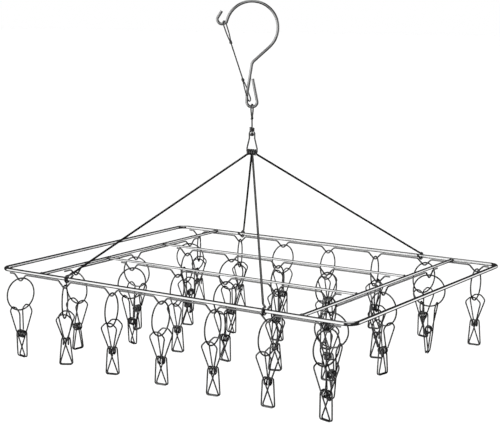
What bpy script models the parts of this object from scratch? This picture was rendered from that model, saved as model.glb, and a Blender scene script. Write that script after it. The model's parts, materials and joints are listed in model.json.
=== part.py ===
"""Clip drying hanger: a flat stainless frame with thirty wire clips on rings,
hung from a latched hook by two links and four stay wires.

Metres, +Z up, +X along the long rails, -Y to the front.
The origin is the top of the inside of the hook, where a rail would carry it.
"""
import math

import bmesh
import bpy
from mathutils import Matrix, Vector

# ---- driving dimensions (metres, degrees) ----
GAP = 0.0003                    # clearance between touching pieces

FRAME_LENGTH = 0.430            # between the centres of the short sides
FRAME_WIDTH = 0.315             # between the centres of the long sides
FRAME_ROD = 0.0040
FRAME_CORNER = 0.010
FRAME_DROP = 0.2795             # origin down to the frame's centre plane
CROSS_BAR_X = 0.160             # each cross bar, from the middle
INNER_RAIL_Y = 0.050            # each inner rail, from the middle
INNER_ROD = 0.0030

DIP_WIRE = 0.0018
DIP_PITCH = 0.0628              # between clips along a long rail
DIP_PITCH_ACROSS = 0.1016       # between clips along a cross bar
DIP_DEPTH = 0.0100              # rod centre down to the bottom of a dip
DIP_HALF = 0.0085
DIP_BEND = 0.0034

HOOK_ROD = 0.0030
HOOK_RADIUS = 0.0270
HOOK_TURN = 34.5                # hook's plane, turned about the vertical
SHANK_BEND_DROP = 0.0350        # hook's centre down to the shank bend
SHANK_DROP = 0.0827             # hook's centre down to the bottom of the shank eye
SHANK_EYE_HALF = 0.0055
TIP_RADIUS = 0.0048
GATE_WIRE = 0.0014
GATE_EYE_LENGTH = 0.023

LINK_WIRE = 0.0016
LINK_EYE = 0.0020               # inside radius of the links' eyes at their pivots
SWIVEL_DROP = 0.0290            # shank eye down to the swivel bead
BEAD_RADIUS = 0.0022
COLLAR_RADIUS = 0.0021
GATHER_DROP = 0.0476            # shank eye down to the lower link's bar

STAY_WIRE = 0.0022
STAY_EYE = 0.0012               # inside radius of the stays' eyes
STAY_OFFSET = 0.0040            # each foot, inwards from the second dip of its rail
STAY_TAIL = 0.010

RING_RADIUS = 0.0170
RING_WIRE = 0.0016
CLIP_WIRE = 0.0015
CLIP_WIDTH = 0.0160             # across a handle loop
HANDLE_RISE = 0.0300            # coil up to a handle's top
JAW_DROP = 0.0245               # coil down to the jaw's bar
JAW_WIDTH = 0.0135
COIL_RADIUS = 0.0042
COIL_LENGTH = 0.0096
HANDLE_SPREAD = 0.0085          # each handle's top, from the middle
JAW_GAP = 0.0003                # each jaw's bar face, from the middle

# How far each ring is twisted from square to its rail, left to right or front to back.
FRONT_TWIST = (-10, 33, 18, 8, 9, 2, -13)
BACK_TWIST = (30, 26, -14, 1, 14, -18, 6)
INNER_FRONT_TWIST = (-22, 12, -8, 20, 5)
INNER_BACK_TWIST = (14, -16, 8, -10, 18)
LEFT_BAR_TWIST = (-8, 6, 18)
RIGHT_BAR_TWIST = (10, -12, 16)

# ---- places worked out from the driving dimensions ----
FRAME_Z = -FRAME_DROP
HOOK_CENTRE_Z = HOOK_ROD / 2 - HOOK_RADIUS
SHANK_EYE_Z = HOOK_CENTRE_Z - SHANK_DROP
GATHER_Z = SHANK_EYE_Z - GATHER_DROP
DIP_Z = FRAME_Z - DIP_DEPTH
RING_DROP = (DIP_WIRE + RING_WIRE) / 2 + GAP
RING_STEPS = 12
RING_CENTRE_DROP = RING_RADIUS * math.cos(math.pi / RING_STEPS) - RING_DROP
HANDLE_ON_RING = math.sqrt(RING_RADIUS ** 2 - HANDLE_SPREAD ** 2)
HANDLE_TOUCH = (RING_WIRE + CLIP_WIRE) / 2 * RING_RADIUS / HANDLE_ON_RING
HANDLE_LIFT = HANDLE_TOUCH + 0.0012         # a handle's top over the ring, hanging free
HANDLE_SUNK = HANDLE_TOUCH - 0.0003         # the same where ring and clip are one body
LEVER_SIDE = COIL_RADIUS + CLIP_WIRE / 2 + GAP
STAY_PITCH = STAY_WIRE + 2 * GAP            # between the stays' eyes on the bar
BAR_HALF = 1.5 * STAY_PITCH + (STAY_WIRE + LINK_WIRE) / 2 + GAP
STAY_X = 2 * DIP_PITCH - STAY_OFFSET

ROUND_SIDES = 1                 # curve bevel resolution: six sides
SMALL_SIDES = 0                 # four sides, on the clips


def clear_scene():
    for item in list(bpy.data.objects):
        bpy.data.objects.remove(item, do_unlink=True)


def steel(name, tone, roughness):
    material = bpy.data.materials.new(name)
    material.use_nodes = True
    shader = material.node_tree.nodes["Principled BSDF"]
    shader.inputs["Base Color"].default_value = (tone, tone, tone * 1.01, 1)
    shader.inputs["Roughness"].default_value = roughness
    shader.inputs["Metallic"].default_value = 1.0
    return material


def arc(centre, radius, start, end, steps):
    """Points in the XZ plane, angles in degrees from +X towards +Z."""
    points = []
    for step in range(steps + 1):
        angle = math.radians(start + (end - start) * step / steps)
        points.append(centre + Vector((math.cos(angle), 0, math.sin(angle))) * radius)
    return points


def round_corners(points, radius, steps=2, closed=False):
    """The points with each corner replaced by a short arc-like run."""
    count = len(points)
    result = []
    for index, corner in enumerate(points):
        if not closed and index in (0, count - 1):
            result.append(corner)
            continue
        before = (points[index - 1] - corner)
        after = (points[(index + 1) % count] - corner)
        turn = math.pi - before.angle(after)
        reach = min(radius * math.tan(turn / 2), before.length * 0.45, after.length * 0.45)
        start = corner + before.normalized() * reach
        end = corner + after.normalized() * reach
        for step in range(steps + 1):
            t = step / steps
            result.append(start.lerp(corner, t).lerp(corner.lerp(end, t), t))
    return result


def wire(name, points, diameter, material, sides=ROUND_SIDES, closed=False):
    """A round wire along points, as a mesh object at the world's origin."""
    curve = bpy.data.curves.new(name, "CURVE")
    curve.dimensions = "3D"
    curve.bevel_depth = diameter / 2
    curve.bevel_resolution = sides
    curve.use_fill_caps = True
    spline = curve.splines.new("POLY")
    spline.points.add(len(points) - 1)
    for point, place in zip(spline.points, points):
        point.co = (*place, 1)
    spline.use_cyclic_u = closed
    guide = bpy.data.objects.new(name + "_curve", curve)
    bpy.context.collection.objects.link(guide)
    graph = bpy.context.evaluated_depsgraph_get()
    mesh = bpy.data.meshes.new_from_object(guide.evaluated_get(graph))
    bpy.data.objects.remove(guide)
    bpy.data.curves.remove(curve)
    return solid(name, mesh, material)


def solid(name, mesh, material):
    """Weld, turn the faces outwards, shade smooth and put the mesh in an object."""
    shape = bmesh.new()
    shape.from_mesh(mesh)
    bmesh.ops.remove_doubles(shape, verts=shape.verts, dist=1e-6)
    bmesh.ops.recalc_face_normals(shape, faces=shape.faces)
    shape.to_mesh(mesh)
    shape.free()
    mesh.shade_smooth()
    mesh.set_sharp_from_angle(angle=math.radians(50))
    mesh.materials.clear()
    mesh.materials.append(material)
    mesh.name = name
    item = bpy.data.objects.new(name, mesh)
    bpy.context.collection.objects.link(item)
    return item


def join_solids(name, pieces, material):
    """One closed body from overlapping pieces, which are used up."""
    base = pieces[0]
    for piece in pieces[1:]:
        union = base.modifiers.new("union", "BOOLEAN")
        union.operation = "UNION"
        union.solver = "EXACT"
        union.object = piece
    bpy.context.view_layer.update()
    graph = bpy.context.evaluated_depsgraph_get()
    mesh = bpy.data.meshes.new_from_object(base.evaluated_get(graph))
    for piece in pieces:
        bpy.data.objects.remove(piece)
    return solid(name, mesh, material)


def place(item, location, turn=0.0):
    """Stand an object at a place, turned about the vertical by turn degrees."""
    item.location = location
    item.rotation_euler = (0, 0, math.radians(turn))
    return item


# ---- hook, gate and links ----
def hook_path():
    centre = Vector((0, 0, 0))
    tip_centre = Vector((-HOOK_RADIUS - 0.0042, 0, 0.0084))
    path = [tip_centre + Vector((-0.0002, 0, 0.0086))]
    path += arc(tip_centre, TIP_RADIUS, 160, 290, 7)
    path += arc(centre, HOOK_RADIUS, 168, -46, 22)
    path += round_corners([
        Vector((0.0030, 0, -SHANK_BEND_DROP + 0.0014)),
        Vector((0.0006, 0, -SHANK_BEND_DROP)),
        Vector((-0.0004, 0, -SHANK_BEND_DROP - 0.0040)),
        Vector((-SHANK_EYE_HALF + 0.0002, 0, -SHANK_DROP + 0.0130)),
    ], 0.004)
    eye_centre = Vector((0, 0, -SHANK_DROP + SHANK_EYE_HALF))
    path += arc(eye_centre, SHANK_EYE_HALF, 180, 360, 8)
    path.append(Vector((0.0008, 0, -SHANK_DROP + 0.0295)))
    return path


def make_hook(material):
    item = wire("hook", hook_path(), HOOK_ROD, material)
    return place(item, (0, 0, HOOK_CENTRE_Z), HOOK_TURN)


def gate_line():
    """The gate's top and bottom ends, in the hook's own frame."""
    top = Vector((-HOOK_RADIUS - 0.0024, 0, 0.0066))
    crossing = Vector((-SHANK_EYE_HALF + 0.0004, 0, -SHANK_DROP + 0.0150))
    along = (crossing - top).normalized()
    return top, crossing + along * 0.0092, along


def gate_eye(start, along):
    """A closed long eye: round at start, side by side, then drawn to a point."""
    across = Vector((0, 1, 0))
    half = (HOOK_ROD + GATE_WIRE) / 2 + 2 * GAP
    points = []
    for step in range(7):
        angle = math.pi * step / 6
        points.append(start + across * (math.cos(angle) * half)
                      + along * (half * (1 - math.sin(angle))))
    for share, width in ((0.62, -half * 0.95), (1, -GATE_WIRE * 0.35),
                         (1, GATE_WIRE * 0.35), (0.62, half * 0.95)):
        points.append(start + along * (GATE_EYE_LENGTH * share) + across * width)
    return points


def make_gate(material):
    top, bottom, along = gate_line()
    upper = wire("gate_upper", gate_eye(top, along), GATE_WIRE, material, closed=True)
    lower = wire("gate_lower", gate_eye(bottom, -along), GATE_WIRE, material, closed=True)
    inset = along * (GATE_EYE_LENGTH - 0.001)
    stem = wire("gate_stem", [top + inset, bottom - inset], GATE_WIRE * 1.15, material)
    item = join_solids("hook_gate", [stem, upper, lower], material)
    return place(item, (0, 0, HOOK_CENTRE_Z), HOOK_TURN)


def make_upper_link(material):
    """An eye over the shank's bottom, a stem, and the swivel's bead."""
    half = LINK_EYE + LINK_WIRE / 2
    eye = []
    for step in range(9):
        angle = math.pi * step / 8
        eye.append(Vector((0, math.cos(angle) * half, math.sin(angle) * half)))
    eye += [Vector((0, -half * 0.8, -0.006)), Vector((0, -LINK_WIRE * 0.3, -0.0118)),
            Vector((0, LINK_WIRE * 0.3, -0.0118)), Vector((0, half * 0.8, -0.006))]
    loop = wire("upper_eye", eye, LINK_WIRE, material, closed=True)
    stem = wire("upper_stem", [Vector((0, 0, -0.0110)), Vector((0, 0, -SWIVEL_DROP))],
                LINK_WIRE, material)
    bead_mesh = bpy.data.meshes.new("bead")
    shape = bmesh.new()
    bmesh.ops.create_uvsphere(shape, u_segments=10, v_segments=6, radius=BEAD_RADIUS,
                              matrix=Matrix.Translation((0, 0, -SWIVEL_DROP)))
    shape.to_mesh(bead_mesh)
    shape.free()
    bead = solid("bead", bead_mesh, material)
    item = join_solids("upper_link", [stem, loop, bead], material)
    return place(item, (0, 0, SHANK_EYE_Z), HOOK_TURN)


def make_lower_link(material):
    """A collar round the swivel's stem, and a stirrup with the bar for the stays."""
    collar_z = -SWIVEL_DROP + BEAD_RADIUS + LINK_WIRE / 2 + GAP
    collar = [Vector((math.cos(a) * COLLAR_RADIUS, math.sin(a) * COLLAR_RADIUS, collar_z))
              for a in (math.tau * step / 12 for step in range(12))]
    ring = wire("collar", collar, LINK_WIRE, material, closed=True)
    bar_z = -GATHER_DROP
    leg = 0.0042
    outline = [Vector((-COLLAR_RADIUS, 0, collar_z)), Vector((-leg, 0, collar_z - 0.002)),
               Vector((-leg, 0, -SWIVEL_DROP - 0.004)), Vector((-BAR_HALF, 0, bar_z + 0.004)),
               Vector((-BAR_HALF, 0, bar_z)), Vector((BAR_HALF, 0, bar_z)),
               Vector((BAR_HALF, 0, bar_z + 0.004)), Vector((leg, 0, -SWIVEL_DROP - 0.004)),
               Vector((leg, 0, collar_z - 0.002)), Vector((COLLAR_RADIUS, 0, collar_z))]
    stirrup = wire("stirrup", round_corners(outline, 0.0008, 1), LINK_WIRE, material)
    item = join_solids("lower_link", [stirrup, ring], material)
    return place(item, (0, 0, SHANK_EYE_Z))


# ---- frame ----
def make_outer_frame(material):
    half_x, half_y = FRAME_LENGTH / 2, FRAME_WIDTH / 2
    corners = [Vector((-half_x, -half_y, 0)), Vector((half_x, -half_y, 0)),
               Vector((half_x, half_y, 0)), Vector((-half_x, half_y, 0))]
    path = round_corners(corners, FRAME_CORNER, 5, closed=True)
    return place(wire("outer_frame", path, FRAME_ROD, material, closed=True), (0, 0, FRAME_Z))


def make_bar(name, start, end, diameter, material):
    return place(wire(name, [Vector(start), Vector(end)], diameter, material), (0, 0, FRAME_Z))


def dip_places(count, pitch):
    return [(index - (count - 1) / 2) * pitch for index in range(count)]


def make_dip_wire(name, places, rod, length, turn, location, material):
    """A straight wire under a rod, bent down into a rounded dip at each place."""
    level = -(rod + DIP_WIRE) / 2 - GAP
    half = length / 2
    points = [Vector((-half, 0, level))]
    for x in places:
        slope = Vector((DIP_HALF, 0, level + DIP_DEPTH)).normalized()
        points.append(Vector((x - DIP_HALF, 0, level)))
        spread = math.degrees(math.atan2(slope.z, slope.x))
        bend = Vector((x, 0, -DIP_DEPTH + DIP_BEND))
        points += arc(bend, DIP_BEND, 270 - spread, 270 + spread, 2)
        points.append(Vector((x + DIP_HALF, 0, level)))
    points.append(Vector((half, 0, level)))
    return place(wire(name, points, DIP_WIRE, material), location, turn)


# ---- stays ----
def make_stay(name, foot_x, side, slot, material):
    """An eye on the lower link's bar, a straight run, and an open hook round the rail."""
    eye_x = STAY_PITCH * slot
    gather = Vector((eye_x, 0, GATHER_Z))
    half = STAY_EYE + STAY_WIRE / 2
    rail = Vector((foot_x, side * FRAME_WIDTH / 2, FRAME_Z))
    grip = (FRAME_ROD + STAY_WIRE) / 2 + GAP
    eye = [gather + Vector((0, math.cos(a) * half, math.sin(a) * half))
           for a in (math.tau * step / 12 for step in range(12))]
    loop = wire(name + "_eye", eye, STAY_WIRE, material, closed=True)
    lean = Vector((0, -side, 1.1)).normalized()
    path = [gather + Vector((0, side * half * 0.6, -half * 0.8))]
    path.append(rail + lean * (grip * 1.35) + Vector((-foot_x * 0.03, 0, 0.002)))
    over = math.degrees(math.atan2(1.1, -side))
    for step in range(9):
        angle = math.radians(over - side * 20 - side * 250 * step / 8)
        path.append(rail + Vector((0, math.cos(angle) * grip, math.sin(angle) * grip)))
    path.append(path[-1] + Vector((0, -side * 0.8, 0.6)) * STAY_TAIL * 0.8)
    run = wire(name + "_run", path, STAY_WIRE, material)
    return join_solids(name, [run, loop], material)


# ---- rings and clips ----
def make_ring(name, material):
    """A ring in its own YZ plane, hung from the bottom of a dip at its origin."""
    centre = Vector((0, 0, -RING_CENTRE_DROP))
    points = []
    for step in range(RING_STEPS):
        angle = math.tau * (step + 0.5) / RING_STEPS
        points.append(centre + Vector((0, math.cos(angle), math.sin(angle))) * RING_RADIUS)
    return wire(name, points, RING_WIRE, material, SMALL_SIDES, closed=True)


def lever_points(side, joined):
    """Half a clip, from its coil: handle loop, diagonal, jaw, and back to the coil."""
    def at(x, z):
        if z >= 0:
            y = LEVER_SIDE + (HANDLE_SPREAD - LEVER_SIDE) * z / HANDLE_RISE
        else:
            closed = JAW_GAP + CLIP_WIRE / 2
            y = LEVER_SIDE + (closed - LEVER_SIDE) * z / -JAW_DROP
        return Vector((side * x, -side * y, z))

    half, jaw, round_off = CLIP_WIDTH / 2, JAW_WIDTH / 2, 0.0022
    shoulder = HANDLE_RISE - half
    points = [at(COIL_LENGTH * 0.30, 0.0060)]
    for step in range(5):
        angle = math.pi * (-0.05 + 1.1 * step / 4)
        points.append(at(math.cos(angle) * half, shoulder + math.sin(angle) * half))
    points += [at(-COIL_LENGTH * 0.22, 0.0060), at(COIL_LENGTH * 0.12, -0.0045),
               at(jaw - 0.0004, -JAW_DROP + round_off), at(jaw - round_off, -JAW_DROP),
               at(-jaw + round_off, -JAW_DROP), at(-jaw, -JAW_DROP + round_off),
               at(-COIL_LENGTH / 2 - 0.0005, -0.0030)]
    if joined:
        inside = COIL_RADIUS - CLIP_WIRE / 2
        points.append(Vector((-side * COIL_LENGTH * 0.34, -side * inside * 0.8, -inside * 0.6)))
    return points


def make_coil(material):
    """The coil's outer shape, open in the middle."""
    shape = bmesh.new()
    inner, half = COIL_RADIUS - CLIP_WIRE, COIL_LENGTH / 2
    corners = [shape.verts.new((x, 0, r)) for x, r in
               ((-half, inner), (-half, COIL_RADIUS), (half, COIL_RADIUS), (half, inner))]
    edges = [shape.edges.new((corners[i - 1], corners[i])) for i in range(4)]
    bmesh.ops.spin(shape, geom=corners + edges, axis=(1, 0, 0), cent=(0, 0, 0),
                   angle=math.tau, steps=8, use_merge=True)
    mesh = bpy.data.meshes.new("coil")
    shape.to_mesh(mesh)
    shape.free()
    return solid("coil", mesh, material)


def shift(item, drop):
    """Lower an object's mesh, keeping its origin."""
    item.data.transform(Matrix.Translation((0, 0, -drop)))
    return item


def make_lever(name, side, joined, material):
    return wire(name, lever_points(side, joined), CLIP_WIRE, material, SMALL_SIDES)


def coil_drop(lift):
    return RING_CENTRE_DROP + HANDLE_ON_RING - lift + HANDLE_RISE


def make_clip_unit(material):
    """Ring and closed clip as one body, for the clips that only swing."""
    drop = coil_drop(HANDLE_SUNK)
    pieces = [shift(make_coil(material), drop),
              shift(make_lever("front", 1, True, material), drop),
              shift(make_lever("back", -1, True, material), drop),
              make_ring("ring", material)]
    return join_solids("clip_unit", pieces, material)


def unit_places():
    """Every dip: name, place and turn of its ring."""
    rows = (("front_rail", FRONT_TWIST, -FRAME_WIDTH / 2, DIP_PITCH, 0),
            ("back_rail", BACK_TWIST, FRAME_WIDTH / 2, DIP_PITCH, 0),
            ("inner_front_rail", INNER_FRONT_TWIST, -INNER_RAIL_Y, DIP_PITCH, 0),
            ("inner_back_rail", INNER_BACK_TWIST, INNER_RAIL_Y, DIP_PITCH, 0),
            ("left_bar", LEFT_BAR_TWIST, -CROSS_BAR_X, DIP_PITCH_ACROSS, 90),
            ("right_bar", RIGHT_BAR_TWIST, CROSS_BAR_X, DIP_PITCH_ACROSS, 90))
    for row, twists, offset, pitch, square in rows:
        for index, twist in enumerate(twists):
            along = dip_places(len(twists), pitch)[index]
            spot = (along, offset) if square == 0 else (offset, along)
            yield row, index + 1, Vector((*spot, DIP_Z)), square + twist


def make_units(material, ring_material):
    """Thirty hanging units; those between the cross bars in front come apart."""
    joined = make_clip_unit(material)
    ring = make_ring("ring_mesh", ring_material)
    drop = coil_drop(HANDLE_LIFT)
    back = join_solids("back_mesh", [make_coil(material), make_lever("b", -1, True, material)],
                       material)
    front = make_lever("front_mesh", 1, False, material)
    for row, number, spot, turn in unit_places():
        if row == "front_rail" and 2 <= number <= 6:
            coil = spot - Vector((0, 0, drop))
            for name, source, where in (("ring", ring, spot), ("clip_back", back, coil),
                                        ("clip_front", front, coil)):
                copy = bpy.data.objects.new(f"{name}_{row}_{number}", source.data)
                bpy.context.collection.objects.link(place(copy, where, turn))
        else:
            copy = bpy.data.objects.new(f"clip_{row}_{number}", joined.data)
            bpy.context.collection.objects.link(place(copy, spot, turn))
    for source in (joined, ring, back, front):
        bpy.data.objects.remove(source)


def make_frame(material, dip_material):
    make_outer_frame(material)
    bar_end = FRAME_WIDTH / 2 - FRAME_ROD / 2 - GAP
    rail_end = CROSS_BAR_X - FRAME_ROD / 2 - GAP
    for side, name in ((-1, "left"), (1, "right")):
        x = side * CROSS_BAR_X
        make_bar(f"cross_bar_{name}", (x, -bar_end, 0), (x, bar_end, 0), FRAME_ROD, material)
        length = 2 * DIP_PITCH_ACROSS + 2 * DIP_HALF + 0.020
        make_dip_wire(f"dip_wire_{name}_bar", dip_places(3, DIP_PITCH_ACROSS), FRAME_ROD,
                      length, 90, (x, 0, FRAME_Z), dip_material)
    for side, name in ((-1, "front"), (1, "back")):
        y = side * INNER_RAIL_Y
        make_bar(f"inner_rail_{name}", (-rail_end, y, 0), (rail_end, y, 0), INNER_ROD, material)
        length = 4 * DIP_PITCH + 2 * DIP_HALF + 0.012
        make_dip_wire(f"dip_wire_inner_{name}", dip_places(5, DIP_PITCH), INNER_ROD,
                      length, 0, (0, y, FRAME_Z), dip_material)
        length = 6 * DIP_PITCH + 2 * DIP_HALF + 0.012
        make_dip_wire(f"dip_wire_{name}_rail", dip_places(7, DIP_PITCH), FRAME_ROD,
                      length, 0, (0, side * FRAME_WIDTH / 2, FRAME_Z), dip_material)


def make_stays(material):
    slots = {("left", "front"): -1.5, ("left", "back"): -0.5,
             ("right", "front"): 0.5, ("right", "back"): 1.5}
    for (across, along), slot in slots.items():
        foot_x = -STAY_X if across == "left" else STAY_X
        side = -1 if along == "front" else 1
        make_stay(f"stay_{along}_{across}", foot_x, side, slot, material)


def main():
    clear_scene()
    polished = steel("polished_rod", 0.78, 0.16)
    drawn = steel("drawn_wire", 0.62, 0.22)
    spring = steel("spring_wire", 0.52, 0.25)
    make_hook(polished)
    make_gate(drawn)
    make_upper_link(drawn)
    make_lower_link(drawn)
    make_stays(drawn)
    make_frame(polished, drawn)
    make_units(spring, drawn)


main()
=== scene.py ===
# %% [markdown]
# # A clip drying hanger in bright steel wire
# Everything on this hanger is bent wire: a frame of polished rod, thirty rings with
# one-piece clips, four stays, two links and a latched hook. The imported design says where
# each piece is and how it moves. This script makes the fine shapes and the steel.

# %% The fixed frame
import json
import math

import bmesh
import bpy
from mathutils import Matrix, Vector


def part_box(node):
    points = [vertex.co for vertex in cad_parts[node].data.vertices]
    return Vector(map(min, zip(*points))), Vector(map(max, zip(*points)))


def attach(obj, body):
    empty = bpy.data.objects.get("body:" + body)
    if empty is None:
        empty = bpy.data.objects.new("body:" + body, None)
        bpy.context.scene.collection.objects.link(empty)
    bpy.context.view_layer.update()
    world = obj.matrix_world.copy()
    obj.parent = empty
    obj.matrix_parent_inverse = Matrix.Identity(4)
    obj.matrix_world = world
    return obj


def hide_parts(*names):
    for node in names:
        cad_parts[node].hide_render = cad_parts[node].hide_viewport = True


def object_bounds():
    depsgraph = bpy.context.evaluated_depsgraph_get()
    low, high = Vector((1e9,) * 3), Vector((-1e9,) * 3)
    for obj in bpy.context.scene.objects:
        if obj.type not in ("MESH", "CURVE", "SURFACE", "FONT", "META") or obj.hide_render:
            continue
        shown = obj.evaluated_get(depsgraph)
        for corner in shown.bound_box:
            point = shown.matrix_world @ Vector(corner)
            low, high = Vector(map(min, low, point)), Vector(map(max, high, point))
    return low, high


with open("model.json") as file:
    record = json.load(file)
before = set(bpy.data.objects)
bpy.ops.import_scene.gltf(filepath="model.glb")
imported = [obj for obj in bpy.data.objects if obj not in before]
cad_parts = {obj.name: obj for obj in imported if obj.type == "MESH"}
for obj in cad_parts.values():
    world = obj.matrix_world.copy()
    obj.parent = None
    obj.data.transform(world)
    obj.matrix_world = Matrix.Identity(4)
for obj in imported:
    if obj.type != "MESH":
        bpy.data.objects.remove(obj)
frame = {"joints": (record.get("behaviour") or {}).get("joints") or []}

cad_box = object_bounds()
joints = {joint["name"]: joint for joint in frame["joints"]}

# %% [markdown]
# ## Camera
# The hanger is seen from its front right, a little above the frame. The camera comes
# first, because every later choice is judged through it. A long lens keeps the near and
# far rails close to parallel, and the height is measured from the frame itself.

# %% Camera
frame_low, frame_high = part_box("outer_frame")
frame_z = (frame_low[2] + frame_high[2]) / 2
VIEW_TURN = math.radians(34.46)
VIEW_DOWN = math.radians(9.31)
VIEW_X, VIEW_Y, VIEW_RISE = 0.7592, -1.1101, 0.2790
LENS_MM, NEAREST = 92.2, 0.05
camera_data = bpy.data.cameras.new("camera")
camera_data.lens = LENS_MM
camera_data.clip_start = NEAREST
camera = bpy.data.objects.new("camera", camera_data)
camera.location = (VIEW_X, VIEW_Y, frame_z + VIEW_RISE)
camera.rotation_euler = (math.pi / 2 - VIEW_DOWN, 0, VIEW_TURN)
bpy.context.collection.objects.link(camera)
bpy.context.scene.camera = camera
print("camera at", [round(value, 3) for value in camera.location])

# %% [markdown]
# ## Floor
# A plain white floor lies well below the lowest clip, so shadows on it are too soft to
# see. It is a single square, large enough for its far edge to meet the white behind it.
# The metal must not mirror it, or every rod would turn white from below.

# %% Floor
FLOOR_DROP, FLOOR_SIZE, FLOOR_WHITE = 0.75, 40.0, 0.93
floor_mesh = bpy.data.meshes.new("floor")
shape = bmesh.new()
bmesh.ops.create_grid(shape, x_segments=1, y_segments=1, size=FLOOR_SIZE,
                      matrix=Matrix.Translation((0, 0, cad_box[0][2] - FLOOR_DROP)))
shape.to_mesh(floor_mesh)
shape.free()
floor = bpy.data.objects.new("floor", floor_mesh)
bpy.context.collection.objects.link(floor)
floor_paint = bpy.data.materials.new("floor_white")
floor_paint.use_nodes = True
floor_shader = floor_paint.node_tree.nodes["Principled BSDF"]
floor_shader.inputs["Base Color"].default_value = (FLOOR_WHITE,) * 3 + (1,)
floor_shader.inputs["Roughness"].default_value = 0.9
floor_shader.inputs["Specular IOR Level"].default_value = 0.1
floor_mesh.materials.append(floor_paint)
floor.visible_glossy = False
print("floor at", round(cad_box[0][2] - FLOOR_DROP, 3))

# %% [markdown]
# ## Room
# Bright steel only shows what stands around it, so the room matters more than the lamps.
# It is dark, with a white disc overhead and three soft white panels at the height of the
# object. A rod that faces a panel gets a white core between two dark edges, and a wire
# that faces none reads dark. The camera itself sees plain white.

# %% Room helpers
ROOM_DARK = 0.025
room = bpy.data.worlds.new("room")
bpy.context.scene.world = room
room.use_nodes = True
nodes, links = room.node_tree.nodes, room.node_tree.links
direction = nodes.new("ShaderNodeTexCoord")


def bright_area(towards, full, edge, tall, brightness):
    """The brightness within full degrees of a direction, falling to 0 at edge degrees."""
    flatten = nodes.new("ShaderNodeVectorMath")
    flatten.operation = "MULTIPLY"
    flatten.inputs[1].default_value = (1, 1, tall)
    links.new(direction.outputs["Generated"], flatten.inputs[0])
    unit = nodes.new("ShaderNodeVectorMath")
    unit.operation = "NORMALIZE"
    links.new(flatten.outputs[0], unit.inputs[0])
    facing = nodes.new("ShaderNodeVectorMath")
    facing.operation = "DOT_PRODUCT"
    facing.inputs[1].default_value = towards
    links.new(unit.outputs[0], facing.inputs[0])
    fade = nodes.new("ShaderNodeMapRange")
    fade.interpolation_type = "SMOOTHSTEP"
    fade.inputs["From Min"].default_value = math.cos(math.radians(edge))
    fade.inputs["From Max"].default_value = math.cos(math.radians(full))
    fade.inputs["To Min"].default_value = ROOM_DARK
    fade.inputs["To Max"].default_value = brightness
    links.new(facing.outputs["Value"], fade.inputs["Value"])
    return fade.outputs["Result"]


def brighter(one, other):
    """The larger of two brightnesses."""
    larger = nodes.new("ShaderNodeMath")
    larger.operation = "MAXIMUM"
    links.new(one, larger.inputs[0])
    links.new(other, larger.inputs[1])
    return larger.outputs[0]


print("room helpers ready, darkness", ROOM_DARK)

# %% [markdown]
# ## Panels and lamps
# The panels stand as they would in a studio: a wide one at the front left, one
# at the back right, and a weaker one behind the camera. Two very soft lamps light only
# the floor, because lamps would leave hard points of light on thin wire.

# %% Panels
# Each panel: compass in degrees from +X, full and edge half-width, flattening, brightness.
PANELS = ((-124.5, 14, 28, 0.38, 1.15), (56.0, 9, 21, 0.85, 1.15), (-57.0, 9, 18, 0.60, 0.45))
DISC_FULL, DISC_EDGE, DISC_GLOW = 22, 32, 0.8
glow = bright_area((0, 0, 1), DISC_FULL, DISC_EDGE, 1, DISC_GLOW)
for turn, full, edge, tall, brightness in PANELS:
    compass = math.radians(turn)
    glow = brighter(glow, bright_area((math.cos(compass), math.sin(compass), 0),
                                      full, edge, tall, brightness))
path = nodes.new("ShaderNodeLightPath")
links.new(brighter(glow, path.outputs["Is Camera Ray"]),
          nodes["Background"].inputs["Color"])
print("panels", len(PANELS))

# %% Lamps
LAMPS = (("key", (0.35, 0.25, 0), 1.9), ("fill", (-0.45, -0.30, 0), 1.3))
LAMP_SOFTNESS = math.radians(60)
for name, tilt, strength in LAMPS:
    lamp_data = bpy.data.lights.new(name, "SUN")
    lamp_data.angle = LAMP_SOFTNESS
    lamp_data.energy = strength
    lamp = bpy.data.objects.new(name, lamp_data)
    lamp.rotation_euler = tilt
    lamp.visible_glossy = False
    bpy.context.collection.objects.link(lamp)
bpy.context.scene.view_settings.view_transform = "Standard"
print("lamps", [name for name, tilt, strength in LAMPS])

# %% [markdown]
# ## Steel
# Polished rod and bright drawn wire are one metal in different states. Drawing leaves a
# fine grain and handling leaves a soft bloom, so a node group gives a slightly uneven
# tone, roughness and height, and each steel sets its own amounts. It reads Object
# coordinates, so the pattern stays with a piece as it moves.

# %% A worn-steel node group
CLOUD_DETAIL, GRAIN_SCALE, GRAIN_DETAIL = 3, 1400, 2
TONE_GAIN, ROUGH_GAIN = 2.0, 1.2


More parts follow.
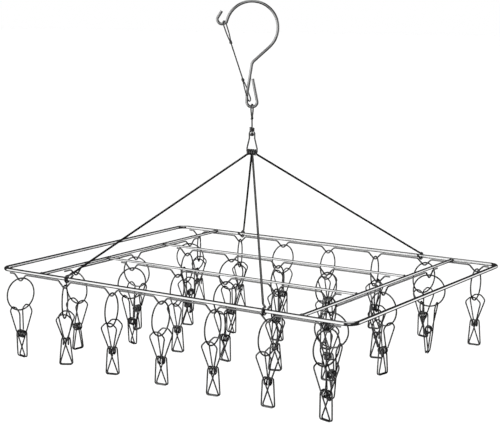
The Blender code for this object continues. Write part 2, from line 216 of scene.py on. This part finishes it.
def make_steel_surface():
    """Tone, roughness and height that vary a little over the piece."""
    group = bpy.data.node_groups.new("steel_surface", "ShaderNodeTree")
    for name, kind, value in (("Tone", "NodeSocketFloat", 0.7), ("Bloom", "NodeSocketFloat", 0.08),
                              ("Roughness", "NodeSocketFloat", 0.15),
                              ("Scale", "NodeSocketFloat", 90.0)):
        socket = group.interface.new_socket(name, in_out="INPUT", socket_type=kind)
        socket.default_value = value
    group.interface.new_socket("Color", in_out="OUTPUT", socket_type="NodeSocketColor")
    group.interface.new_socket("Roughness", in_out="OUTPUT", socket_type="NodeSocketFloat")
    group.interface.new_socket("Height", in_out="OUTPUT", socket_type="NodeSocketFloat")
    nodes, links = group.nodes, group.links
    source, target = nodes.new("NodeGroupInput"), nodes.new("NodeGroupOutput")
    place = nodes.new("ShaderNodeTexCoord")
    cloud = nodes.new("ShaderNodeTexNoise")
    cloud.inputs["Detail"].default_value = CLOUD_DETAIL
    links.new(place.outputs["Object"], cloud.inputs["Vector"])
    links.new(source.outputs["Scale"], cloud.inputs["Scale"])
    grain = nodes.new("ShaderNodeTexNoise")
    grain.inputs["Scale"].default_value = GRAIN_SCALE
    grain.inputs["Detail"].default_value = GRAIN_DETAIL
    links.new(place.outputs["Object"], grain.inputs["Vector"])

    def vary(base, amount_socket, field, gain):
        """base + (field - 0.5) * amount * gain"""
        centred = nodes.new("ShaderNodeMath")
        centred.operation = "SUBTRACT"
        links.new(field, centred.inputs[0])
        centred.inputs[1].default_value = 0.5
        scaled = nodes.new("ShaderNodeMath")
        scaled.operation = "MULTIPLY"
        links.new(centred.outputs[0], scaled.inputs[0])
        links.new(amount_socket, scaled.inputs[1])
        added = nodes.new("ShaderNodeMath")
        added.operation = "MULTIPLY_ADD"
        links.new(scaled.outputs[0], added.inputs[0])
        added.inputs[1].default_value = gain
        links.new(base, added.inputs[2])
        return added.outputs[0]

    tone = vary(source.outputs["Tone"], source.outputs["Bloom"], cloud.outputs["Fac"],
                TONE_GAIN)
    colour = nodes.new("ShaderNodeCombineColor")
    for channel in ("Red", "Green", "Blue"):
        links.new(tone, colour.inputs[channel])
    rough = vary(source.outputs["Roughness"], source.outputs["Bloom"], grain.outputs["Fac"],
                 ROUGH_GAIN)
    links.new(colour.outputs["Color"], target.inputs["Color"])
    links.new(rough, target.inputs["Roughness"])
    links.new(grain.outputs["Fac"], target.inputs["Height"])
    return group


steel_surface = make_steel_surface()
print("steel group", len(steel_surface.nodes), "nodes")

# %% [markdown]
# ## Four steels
# The rods are polished, the links and rings are drawn wire, and the clips are harder
# spring wire, which is a little darker. The welds are left as they cool, so they are
# dull and rough. Each is a metal with its own tone, roughness, bloom, scale and relief.

# %% Four steels
RELIEF_DEPTH = 0.00005


def steel(name, tone, roughness, bloom, scale, bump):
    """One state of the steel, with its own amounts in the shared group."""
    material = bpy.data.materials.new(name)
    material.use_nodes = True
    nodes, links = material.node_tree.nodes, material.node_tree.links
    shader = nodes["Principled BSDF"]
    shader.inputs["Metallic"].default_value = 1.0
    surface = nodes.new("ShaderNodeGroup")
    surface.node_tree = steel_surface
    for socket, value in (("Tone", tone), ("Bloom", bloom), ("Roughness", roughness),
                          ("Scale", scale)):
        surface.inputs[socket].default_value = value
    links.new(surface.outputs["Color"], shader.inputs["Base Color"])
    links.new(surface.outputs["Roughness"], shader.inputs["Roughness"])
    relief = nodes.new("ShaderNodeBump")
    relief.inputs["Strength"].default_value = bump
    relief.inputs["Distance"].default_value = RELIEF_DEPTH
    links.new(surface.outputs["Height"], relief.inputs["Height"])
    links.new(relief.outputs["Normal"], shader.inputs["Normal"])
    return material


polished = steel("polished_rod", 0.88, 0.06, 0.05, 60, 0.10)
drawn = steel("drawn_wire", 0.27, 0.10, 0.10, 120, 0.20)
spring = steel("spring_wire", 0.22, 0.12, 0.12, 160, 0.25)
weld = steel("weld_bead", 0.42, 0.34, 0.25, 300, 0.60)
print("steels", [material.name for material in (polished, drawn, spring, weld)])

# %% [markdown]
# ## Bending wire
# A wire is a path and a diameter. Wire is bent round a pin, so it never has a sharp
# corner: eyes and hooks are true arcs, and the corners between straight runs become
# short smooth bends. Necks and coils are helices, because there wire is wound on wire.

# %% Wire paths
ALONG_X, ALONG_Y, UP = Vector((1, 0, 0)), Vector((0, 1, 0)), Vector((0, 0, 1))
NEARLY_STRAIGHT = 0.05
LONGEST_BEND = 0.48     # of the shorter side


def bent(points, radius, steps=6):
    """Replace each inner corner by an arc-like run that touches both sides."""
    result = []
    for index, corner in enumerate(points):
        if index in (0, len(points) - 1):
            result.append(corner.copy())
            continue
        before, after = points[index - 1] - corner, points[index + 1] - corner
        if before.angle(after) > math.pi - NEARLY_STRAIGHT:
            result.append(corner.copy())
            continue
        reach = radius * math.tan((math.pi - before.angle(after)) / 2)
        reach = min(reach, before.length * LONGEST_BEND, after.length * LONGEST_BEND)
        start = corner + before.normalized() * reach
        end = corner + after.normalized() * reach
        for step in range(steps + 1):
            t = step / steps
            result.append(start.lerp(corner, t).lerp(corner.lerp(end, t), t))
    return result


def arc(centre, radius, start, end, steps, across=ALONG_X, up=UP):
    """Points on an arc, degrees from across towards up."""
    turns = (math.radians(start + (end - start) * step / steps) for step in range(steps + 1))
    return [centre + (across * math.cos(a) + up * math.sin(a)) * radius for a in turns]


def wrap(start, along, across, radius, turns, pitch, steps=12):
    """A close helix of wire round a neck."""
    side = along.cross(across)
    points = []
    for step in range(int(turns * steps) + 1):
        angle = math.tau * step / steps
        points.append(start + along * (pitch * step / steps)
                      + (across * math.cos(angle) + side * math.sin(angle)) * radius)
    return points


print("a quarter bend has", len(arc(Vector(), 1, 0, 90, 6)), "points")

# %% [markdown]
# ## From a path to a piece
# A round bevel draws the tube round the path, and its ends are capped. The tubes of one
# piece are joined, their faces are turned outwards, and the piece is set at the origin
# with its place in its mesh. Then it is hung on its body, which carries it as it moves.

# %% Wire pieces
MERGE_DISTANCE, SHARP_ANGLE = 1e-6, math.radians(60)


def tube(points, diameter, sides=4, closed=False):
    """A mesh tube along the points; sides is the bevel's resolution."""
    curve = bpy.data.curves.new("wire", "CURVE")
    curve.dimensions = "3D"
    curve.bevel_depth = diameter / 2
    curve.bevel_resolution = sides
    curve.use_fill_caps = True
    spline = curve.splines.new("POLY")
    spline.points.add(len(points) - 1)
    for point, place in zip(spline.points, points):
        point.co = (*place, 1)
    spline.use_cyclic_u = closed
    guide = bpy.data.objects.new("wire", curve)
    bpy.context.collection.objects.link(guide)
    graph = bpy.context.evaluated_depsgraph_get()
    mesh = bpy.data.meshes.new_from_object(guide.evaluated_get(graph))
    bpy.data.objects.remove(guide)
    bpy.data.curves.remove(curve)
    return mesh


def finish_piece(name, meshes, material, body, matrix=Matrix()):
    """Join meshes into one piece at the origin, smooth it and hang it on a body."""
    shape = bmesh.new()
    for mesh in meshes:
        shape.from_mesh(mesh)
        bpy.data.meshes.remove(mesh)
    bmesh.ops.remove_doubles(shape, verts=shape.verts, dist=MERGE_DISTANCE)
    bmesh.ops.transform(shape, matrix=matrix, verts=shape.verts)
    bmesh.ops.recalc_face_normals(shape, faces=shape.faces)
    mesh = bpy.data.meshes.new(name)
    shape.to_mesh(mesh)
    shape.free()
    mesh.shade_smooth()
    mesh.set_sharp_from_angle(angle=SHARP_ANGLE)
    mesh.materials.append(material)
    piece = bpy.data.objects.new(name, mesh)
    bpy.context.collection.objects.link(piece)
    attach(piece, body)
    return piece


print("edges sharper than", round(math.degrees(SHARP_ANGLE)), "degrees stay sharp")

# %% [markdown]
# ## Hook
# The hook is one polished rod: a long eye at the foot of the shank, a bend, most of a
# circle, and an outward lip that holds the latch. The circle and the eye are arcs, and
# the straight runs between them are tangents, so the rod flows as a bent one does.

# %% Hook
HOOK_ROD, HOOK_RADIUS, SHANK_DROP, SHANK_EYE = 0.0030, 0.0270, 0.0827, 0.0055
HOOK_TURN = math.radians(34.5)      # of the hook about the vertical
LIP_RADIUS, LIP_BEND, SHANK_BEND = 0.0048, 0.0016, 0.0060
MOUTH_START, MOUTH_END = 155, -46   # degrees of the big circle
shank_eye_z = joints["link_swing"]["pos_m"][2]
hook_centre_z = shank_eye_z + SHANK_DROP
hook_place = (Matrix.Translation((0, 0, hook_centre_z))
              @ Matrix.Rotation(HOOK_TURN, 4, "Z"))
tip_centre = Vector((-HOOK_RADIUS - 0.0042, 0, 0.0084))
hook_path = [tip_centre + Vector((-0.0002, 0, 0.0086))]
hook_path += arc(tip_centre, LIP_RADIUS, 160, 278, 14)
hook_path += bent([tip_centre + Vector((0.0012, 0, -0.0046)), Vector((-0.0268, 0, 0.0050)),
                   Vector((-0.0250, 0, 0.0100))], LIP_BEND)
hook_path += arc(Vector(), HOOK_RADIUS, MOUTH_START, MOUTH_END, 72)
hook_path += bent([Vector((0.0180, 0, -0.0202)), Vector((0.0002, 0, -0.0362)),
                   Vector((-0.0053, 0, -0.0697)), Vector((-0.0055, 0, -0.0760))],
                  SHANK_BEND, 8)
hook_path += arc(Vector((0, 0, -SHANK_DROP + SHANK_EYE)), SHANK_EYE, 184, 358, 24)
hook_path.append(Vector((0.0008, 0, -SHANK_DROP + 0.0295)))
hook = finish_piece("hook_rod", [tube(hook_path, HOOK_ROD, 6)], polished, "hook", hook_place)
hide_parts("hook")
print("hook", [round(value * 1000, 1) for value in hook.dimensions])

# %% [markdown]
# ## Latch
# A thin wire latch closes the hook's mouth. Each end is a long doubled eye, drawn to a point
# where the wire is twisted back on itself, and a single straight wire joins the two. The
# top eye sits in the valley of the hook's lip, and the bottom eye slides on the shank.

# %% Latch
GATE_WIRE, GATE_EYE_LENGTH, GAP = 0.0014, 0.0230, 0.0003
EYE_TURN = math.radians(30)         # of the eyes about the latch's own line
NECK_LAP, TWIST_TURNS, TWIST_THINNER, STEM_THICKER = 0.0012, 2.5, 0.8, 1.1
gate_top = Vector((-HOOK_RADIUS - 0.0024, 0, 0.0066))
gate_cross = Vector((-SHANK_EYE + 0.0004, 0, -SHANK_DROP + 0.0150))
gate_along = (gate_cross - gate_top).normalized()
gate_bottom = gate_cross + gate_along * 0.0092


def long_eye(start, along, across, half, length, wire):
    """A round end, two nearly straight sides, and a pinched neck."""
    points = arc(start + along * half, half, 0, 180, 12, across, -along)
    sides = ((0.35, 0.98), (0.62, 0.86), (0.82, 0.52), (0.94, 0.24), (1.0, wire * 0.5 / half))
    points += [start + along * (length * share) - across * (half * width)
               for share, width in sides]
    points += [start + along * (length * share) + across * (half * width)
               for share, width in reversed(sides)]
    return points


gate_across = Matrix.Rotation(EYE_TURN, 3, gate_along) @ ALONG_Y
gate_half = (HOOK_ROD + GATE_WIRE) / 2 + 2 * GAP
inset = gate_along * (GATE_EYE_LENGTH - NECK_LAP)
twist_wire = GATE_WIRE * TWIST_THINNER
ends = ((gate_top, gate_along), (gate_bottom, -gate_along))
eyes = [tube(long_eye(end, along, gate_across, gate_half, GATE_EYE_LENGTH, GATE_WIRE),
             GATE_WIRE, 3, closed=True) for end, along in ends]
gate_stem = tube([gate_top + inset, gate_bottom - inset], GATE_WIRE * STEM_THICKER, 3)
necks = ((gate_top + inset, gate_along), (gate_bottom - inset, -gate_along))
twists = [tube(wrap(neck, along, gate_across, twist_wire, TWIST_TURNS, twist_wire),
               twist_wire, 2) for neck, along in necks]
gate = finish_piece("hook_latch", eyes + [gate_stem] + twists, drawn, "gate", hook_place)
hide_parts("hook_gate")
print("latch", len(gate.data.polygons), "faces")

# %% [markdown]
# ## Swivel eye
# Two small links let the frame turn. The upper one has a pointed eye over the shank and
# a stem that ends in a knotted bead. The eye is one closed path, and a short helix makes
# the twist at its neck and the knot round the bead, as wire is wound on itself.

# %% Upper link
LINK_WIRE, LINK_EYE, SWIVEL_DROP, BEAD_RADIUS = 0.0016, 0.0020, 0.0290, 0.0022
NECK_DROP, BEAD_SHARE, KNOT_WIRE = 0.0112, 0.86, 0.0011
link_place = (Matrix.Translation((0, 0, shank_eye_z))
              @ Matrix.Rotation(HOOK_TURN - EYE_TURN * 0.8, 4, "Z"))
link_half = LINK_EYE + LINK_WIRE / 2
eye_path = arc(Vector(), link_half, 0, 180, 14, ALONG_Y)
neck = ((-0.0030, 0.97), (-0.0060, 0.76), (-0.0090, 0.46), (-0.0118, 0.29))
eye_path += [Vector((0, -link_half * width, z)) for z, width in neck]
eye_path += [Vector((0, link_half * width, z)) for z, width in reversed(neck)]
stem_top = -UP * NECK_DROP
link_parts = [tube(eye_path, LINK_WIRE, 4, closed=True),
              tube([stem_top, -UP * SWIVEL_DROP], LINK_WIRE, 4),
              tube(wrap(stem_top, -UP, ALONG_Y, LINK_WIRE * 0.6, 2, LINK_WIRE * 0.6),
                   LINK_WIRE * 0.7, 2)]
shape = bmesh.new()
bmesh.ops.create_uvsphere(shape, u_segments=16, v_segments=10,
                          radius=BEAD_RADIUS * BEAD_SHARE,
                          matrix=Matrix.Translation((0, 0, -SWIVEL_DROP)))
bead = bpy.data.meshes.new("bead")
shape.to_mesh(bead)
shape.free()
knot = tube(wrap(Vector((0, 0, -SWIVEL_DROP + 0.0008)), -UP, ALONG_Y, BEAD_RADIUS - 0.0006,
                 2, 0.0010), KNOT_WIRE, 3)
upper_link = finish_piece("swivel_eye", link_parts + [bead, knot], drawn, "upper_link",
                          link_place)
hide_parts("upper_link")
print("swivel eye", len(upper_link.data.polygons), "faces")

# %% [markdown]
# ## Stirrup
# The lower link is a stirrup. Its top is wound round the upper link's stem, so it can
# turn but not drop past the bead, and its foot is the bar that the stays hang on. Half
# of its outline is listed from the collar down, and the other half mirrors it.

# %% Lower link
COLLAR_RADIUS, GATHER_DROP, BAR_HALF, LEG = 0.0021, 0.0476, 0.0064, 0.0034
SHOULDER, LEG_RUN, STIRRUP_BEND = 0.0020, 0.0040, 0.0012
gather_z = shank_eye_z - GATHER_DROP
collar_z = -SWIVEL_DROP + BEAD_RADIUS + LINK_WIRE / 2 + GAP
outline = [Vector((-COLLAR_RADIUS, 0, collar_z)),
           Vector((-LEG, 0, collar_z - SHOULDER)),
           Vector((-LEG, 0, -SWIVEL_DROP - LEG_RUN)),
           Vector((-BAR_HALF, 0, -GATHER_DROP + LEG_RUN)),
           Vector((-BAR_HALF, 0, -GATHER_DROP))]
outline += [Vector((-corner.x, 0, corner.z)) for corner in reversed(outline)]
collar = wrap(Vector((0, 0, collar_z)), UP, ALONG_Y, COLLAR_RADIUS - 0.0001, 2.5, LINK_WIRE)
lower_link = finish_piece("swivel_stirrup",
                          [tube(bent(outline, STIRRUP_BEND, 5), LINK_WIRE, 4),
                           tube(collar, LINK_WIRE, 4)],
                          drawn, "lower_link", Matrix.Translation((0, 0, shank_eye_z)))
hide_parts("lower_link")
print("stirrup", [round(value * 1000, 1) for value in lower_link.dimensions])

# %% [markdown]
# ## Frame
# The frame is a loop of the thickest rod with rounded corners. Two rods of the same size
# cross it near its ends and two thinner ones run between them. Each straight rod takes
# its place, length and thickness from the design's own box for it.

# %% Frame loop
ROD, CORNER, INNER_ROD = 0.0040, 0.0100, 0.0030
half_length = (frame_high[0] - frame_low[0] - ROD) / 2
half_width = (frame_high[1] - frame_low[1] - ROD) / 2
corners = [Vector((x * half_length, y * half_width, frame_z))
           for x, y in ((-1, -1), (1, -1), (1, 1), (-1, 1))]


def round_rectangle(corners, radius, steps):
    """Four corners, in order from the lowest x and y, turned into true arcs."""
    points = []
    for corner, start in zip(corners, (180, 270, 0, 90)):
        inward = Vector((-math.copysign(radius, corner.x), -math.copysign(radius, corner.y), 0))
        points += arc(corner + inward, radius, start, start + 90, steps,
                      ALONG_X, ALONG_Y)
    return points


loop = finish_piece("frame_loop", [tube(round_rectangle(corners, CORNER, 14), ROD, 6, True)],
                    polished, "frame")
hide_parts("outer_frame")
print("frame", [round(value * 1000, 1) for value in loop.dimensions])

# %% Straight rods
BARS = ("cross_bar_left", "cross_bar_right", "inner_rail_front", "inner_rail_back")


def rod_line(name):
    """The middle, direction and box size of a straight rod."""
    low, high = (Vector(corner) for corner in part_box(name))
    size = high - low
    along = ALONG_X if size.x > size.y else ALONG_Y
    return (low + high) / 2, along, size


for name in BARS:
    centre, along, size = rod_line(name)
    reach = along * (size.dot(along) / 2)
    rod = finish_piece(name + "_rod", [tube([centre - reach, centre + reach], size.z, 6)],
                       polished, "frame")
    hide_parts(name)
    print(name, [round(value * 1000, 1) for value in size])

# %% [markdown]
# ## Dip wires
# A thinner wire runs under each rod and is bent down into a rounded dip wherever a ring
# hangs, so the rings can't slide along. One path with an arc at each dip makes it, and
# short fillets turn the level runs down into the dips.

# %% Dip wires
DIP_WIRE, DIP_HALF, DIP_BEND, DIP_FILLET = 0.0018, 0.0085, 0.0034, 0.0040
dip_depth = frame_z - joints["swing_back_rail_1"]["pos_m"][2]
rows = {"front_rail": 7, "back_rail": 7, "inner_front_rail": 5, "inner_back_rail": 5,
        "left_bar": 3, "right_bar": 3}


def ring_joint(row, index):
    """The joint that swings a ring in its dip: some units come apart, most are one."""
    name = f"swing_{row}_{index}"
    return joints[name] if name in joints else joints[f"ring_swing_{index}"]


for row, count in rows.items():
    node = "dip_wire_" + (row.removesuffix("_rail") if row.startswith("inner") else row)
    low, high = (Vector(corner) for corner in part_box(node))
    runs_across = row.endswith("_bar")
    rod = INNER_ROD if row.startswith("inner") else ROD
    level = -(rod + DIP_WIRE) / 2 - GAP
    axis = 1 if runs_across else 0
    middle = (low + high) / 2
    dips = sorted(ring_joint(row, index + 1)["pos_m"][axis] - middle[axis]
                  for index in range(count))
    half = (high[axis] - low[axis]) / 2
    path = [Vector((-half, 0, level))]
    for x in dips:
        lead, foot = Vector((x - DIP_HALF, 0, level)), Vector((x, 0, -dip_depth))
        spread = math.degrees(math.atan2(level + dip_depth, DIP_HALF))
        path += bent([path[-1].lerp(lead, 0.5), lead, foot], DIP_FILLET, 4)[1:-1]
        path += arc(Vector((x, 0, -dip_depth + DIP_BEND)), DIP_BEND,
                    270 - spread, 270 + spread, 10)
        tail = Vector((x + DIP_HALF, 0, level))
        path += bent([foot, tail, tail + ALONG_X * 0.01], DIP_FILLET, 4)[1:-1]
    path.append(Vector((half, 0, level)))
    turn = Matrix.Rotation(math.radians(90 if runs_across else 0), 4, "Z")
    place = Matrix.Translation((middle.x, middle.y, frame_z)) @ turn
    piece = finish_piece(node + "_fine", [tube(path, DIP_WIRE, 4)], drawn, "frame", place)
    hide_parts(node)
    print(node, [round(x * 1000, 1) for x in dips])

# %% [markdown]
# ## Weld beads
# Where a rod end lies against another rod the weld squeezes out a thin collar of metal.
# A flattened, slightly uneven bead is enough: it is smaller than the rods, so it only
# softens the corner between them, and it is duller than the polish.

# %% Welds
BEAD_WAVE, BEAD_LOBES, BEAD_FLAT = 0.05, 5, 0.62
BEAD_INSET, BEAD_PROUD = 0.0008, 0.00045


def weld_bead(place, along, size):
    """A low bead round a rod's end."""
    shape = bmesh.new()
    bmesh.ops.create_uvsphere(shape, u_segments=14, v_segments=9, radius=1)
    for vert in shape.verts:
        turned = BEAD_LOBES * math.atan2(vert.co.y, vert.co.x) + place.x * 400
        wave = 1 + BEAD_WAVE * math.sin(turned)
        vert.co.x *= wave
        vert.co.y *= wave
    turn = along.to_track_quat("Z", "X").to_matrix().to_4x4()
    bmesh.ops.transform(shape, verts=shape.verts, matrix=(
        Matrix.Translation(place) @ turn @ Matrix.Diagonal((size, size, size * BEAD_FLAT, 1))))
    mesh = bpy.data.meshes.new("bead")
    shape.to_mesh(mesh)
    shape.free()
    return mesh


beads = []
for name, rod_size in zip(BARS, (ROD, ROD, INNER_ROD, INNER_ROD)):
    centre, along, size = rod_line(name)
    for end in (-1, 1):
        place = centre + along * end * (size.dot(along) / 2 - BEAD_INSET)
        beads.append(weld_bead(place, along, rod_size / 2 + BEAD_PROUD))
welds = finish_piece("frame_welds", beads, weld, "frame")
print("welds", len(beads))

# %% [markdown]
# ## Stays
# Four thin wires carry the frame. Each has a small eye on the stirrup's bar, runs
# straight to a long rail, wraps round it from outside and ends in a short turned-up
# tail. The eyes lie side by side on the bar, so their pitch follows from the wire.

# %% Stays
STAY_WIRE, STAY_EYE, STAY_OFFSET, STAY_TAIL = 0.0022, 0.0012, 0.0040, 0.0080
STAY_PITCH = STAY_WIRE + 2 * GAP
STAY_SLOTS = {"stay_front_left": -1.5, "stay_back_left": -0.5,
              "stay_front_right": 0.5, "stay_back_right": 1.5}
HOOK_SWEEP, LEAN_BACK, STAY_BEND = 250, 1.1, 0.0050
grip = (ROD + STAY_WIRE) / 2 + GAP
eye_half = STAY_EYE + STAY_WIRE / 2
outer = abs(ring_joint("front_rail", 6)["pos_m"][0]) - STAY_OFFSET
for name, slot in STAY_SLOTS.items():
    side = -1 if "front" in name else 1
    foot_x = math.copysign(outer, slot)
    gather = Vector((STAY_PITCH * slot, 0, gather_z))
    rail = Vector((foot_x, side * half_width, frame_z))
    eye = arc(gather, eye_half, 0, 360, 20, ALONG_Y)[:-1]
    lean = Vector((0, -side, LEAN_BACK)).normalized()
    first = math.degrees(math.atan2(LEAN_BACK, -side)) - side * 20
    start = gather + Vector((0, side * eye_half * 0.6, -eye_half * 0.8))
    above = rail + lean * (grip * 1.35) + Vector((-foot_x * 0.03, 0, 0.0020))
    hook_round = arc(rail, grip, first, first - side * HOOK_SWEEP, 24, ALONG_Y)
    path = bent([start, above, hook_round[0]], STAY_BEND)[:-1] + hook_round
    path.append(path[-1] + Vector((0, -side * 0.8, 0.6)) * STAY_TAIL)
    stay = finish_piece(name + "_wire", [tube(eye, STAY_WIRE, 3, closed=True),
                                         tube(path, STAY_WIRE, 3)], drawn, "frame")
    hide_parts(name)
    print(name, "foot at", round(foot_x * 1000, 1))

# %% [markdown]
# ## Rings
# Each ring is thin wire bent into a circle, with its ends butted. It hangs in a dip,
# turned a little from square, as loose rings do. A small circle spun round the ring's
# centre makes it, and the full spin merges its last step with its first.

# %% Ring maker
RING_RADIUS, RING_WIRE, RING_STEPS, RING_SIDES = 0.0170, 0.0016, 56, 10
ring_hang = RING_RADIUS * math.cos(math.pi / 12) - (DIP_WIRE + RING_WIRE) / 2 - GAP


def make_ring():
    """A ring in the YZ plane that hangs from the origin."""
    shape = bmesh.new()
    made = bmesh.ops.create_circle(shape, segments=RING_SIDES, radius=RING_WIRE / 2,
                                   cap_ends=False)
    bmesh.ops.translate(shape, vec=(0, RING_RADIUS, 0), verts=made["verts"])
    bmesh.ops.spin(shape, geom=shape.verts[:] + shape.edges[:], axis=(1, 0, 0), cent=(0, 0, 0),
                   angle=math.tau, steps=RING_STEPS, use_merge=True)
    bmesh.ops.transform(shape, matrix=Matrix.Translation((0, 0, -ring_hang)), verts=shape.verts)
    mesh = bpy.data.meshes.new("ring")
    shape.to_mesh(mesh)
    shape.free()
    return mesh


print("rings hang", round(ring_hang * 1000, 2), "mm under their dips")

# %% [markdown]
# ## Clips
# A clip is one spring wire. Its middle is coiled, and each end makes a teardrop handle,
# crosses under the coil to the opposite corner and closes as a jaw. The handles hang
# over the ring, and the coil keeps the jaws shut. One path makes half a clip and another
# makes the coil, so that a clip can be one wire or be parted at its coil.

# %% Clip maker
CLIP_WIRE, COIL_TURNS, COIL_STEPS, COIL_CROWD = 0.0015, 3.5, 50, 0.13
HANDLE_BEND, JAW_BEND = 0.0042, 0.0022
CLIP_WIDTH, HANDLE_RISE, JAW_DROP, JAW_WIDTH = 0.0160, 0.0300, 0.0245, 0.0135
COIL_RADIUS, COIL_LENGTH, HANDLE_SPREAD, JAW_GAP = 0.0042, 0.0096, 0.0085, 0.0003
LEVER_SIDE = COIL_RADIUS + CLIP_WIRE / 2 + GAP
coil_middle, coil_reach = COIL_RADIUS - CLIP_WIRE / 2, (COIL_LENGTH - CLIP_WIRE) / 2
handle_seat = math.sqrt(RING_RADIUS ** 2 - HANDLE_SPREAD ** 2)
touch = (RING_WIRE + CLIP_WIRE) / 2 * RING_RADIUS / handle_seat


def lever_path(side):
    """Half a clip: tucked end, handle, diagonal, jaw and up to the coil's end."""
    def at(x, z):
        top, closed = (HANDLE_SPREAD, HANDLE_RISE), (JAW_GAP + CLIP_WIRE / 2, -JAW_DROP)
        reach, rise = top if z >= 0 else closed
        return Vector((side * x, -side * (LEVER_SIDE + (reach - LEVER_SIDE) * z / rise), z))

    half, jaw = CLIP_WIDTH / 2, JAW_WIDTH / 2
    tuck = COIL_RADIUS + CLIP_WIRE / 2 + 0.0001
    start = Vector((side * COIL_LENGTH * 0.30, -side * tuck * 0.82, tuck * 0.57))
    loop = [start, at(half + 0.0006, HANDLE_RISE - 0.0052),
            at(half * 0.40, HANDLE_RISE), at(-half * 0.40, HANDLE_RISE),
            at(-half - 0.0006, HANDLE_RISE - 0.0052), at(-COIL_LENGTH * 0.24, 0.0060)]
    jaw_line = [at(COIL_LENGTH * 0.12, -0.0045), at(jaw, -JAW_DROP), at(-jaw, -JAW_DROP),
                Vector((-side * coil_reach, -side * coil_middle, -0.0004))]
    return bent(loop, HANDLE_BEND, 7)[:-1] + bent(loop[-2:] + jaw_line, JAW_BEND)[1:]


def coil_path():
    """The spring, from the front jaw to the back one, with its turns opener in the middle."""
    points = []
    for step in range(COIL_STEPS + 1):
        share = 2 * step / COIL_STEPS - 1
        angle = COIL_TURNS * math.tau * step / COIL_STEPS
        spread = share * (1 + COIL_CROWD - COIL_CROWD * share * share)
        points.append(Vector((coil_reach * spread, -math.cos(angle) * coil_middle,
                              math.sin(angle) * coil_middle)))
    return points


print("half a clip has", len(lever_path(1)), "points and its coil", len(coil_path()))

# %% [markdown]
# ## Thirty units
# A ring and its clip hang in every dip, each turned by its own small angle, because
# loose rings never line up. On the front rail five units come apart: ring, back half and
# front half ride on bodies of their own, so those clips are parted in the middle of
# the coil. Everywhere else ring and clip ride on one body and the clip is one wire.

# %% Thirty units
SEAT_SLACK, LOOSE_SLACK = 0.00005, 0.0012
TWISTS = {"front_rail": (-10, 33, 18, 8, 9, 2, -13), "back_rail": (30, 26, -14, 1, 14, -18, 6),
          "inner_front_rail": (-22, 12, -8, 20, 5), "inner_back_rail": (14, -16, 8, -10, 18),
          "left_bar": (-8, 6, 18), "right_bar": (10, -12, 16)}
for row, count in rows.items():
    for index in range(1, count + 1):
        unit = f"{row}_{index}"
        joint = ring_joint(row, index)
        twist = TWISTS[row][index - 1] + (90 if row.endswith("_bar") else 0)
        hang = (Matrix.Translation(joint["pos_m"])
                @ Matrix.Rotation(math.radians(twist), 4, "Z"))
        apart = joint["name"].startswith("ring_swing")
        lift = touch + (LOOSE_SLACK if apart else SEAT_SLACK)
        coil_z = -(ring_hang + handle_seat - lift + HANDLE_RISE)
        clip_place = hang @ Matrix.Translation((0, 0, coil_z))
        front, coil, back = lever_path(1), coil_path(), lever_path(-1)[::-1]
        if apart:
            split = len(coil) // 2
            pieces = (("ring", [make_ring()], hang, f"ring_{unit}"),
                      ("back_jaw", [tube(coil[split + 1:] + back, CLIP_WIRE, 3)], clip_place,
                       f"clip_back_{unit}"),
                      ("front_jaw", [tube(front + coil[:split - 1], CLIP_WIRE, 3)], clip_place,
                       f"clip_front_{unit}"))
        else:
            pieces = (("ring", [make_ring()], hang, f"clip_{unit}"),
                      ("clip", [tube(front + coil + back, CLIP_WIRE, 3)], clip_place,
                       f"clip_{unit}"))
        for kind, meshes, place, body in pieces:
            finish = drawn if kind == "ring" else spring
            piece = finish_piece(f"{kind}_{unit}_wire", meshes, finish, body, place)
            if apart or kind == "clip":
                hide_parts(body)
print("units", sum(rows.values()))

# %% [markdown]
# ## Size and finish
# The fine model must fill the same space as the design. This prints the design's box in
# millimetres.

# %% Finish
print("cad", [[round(v * 1000, 1) for v in corner] for corner in cad_box])
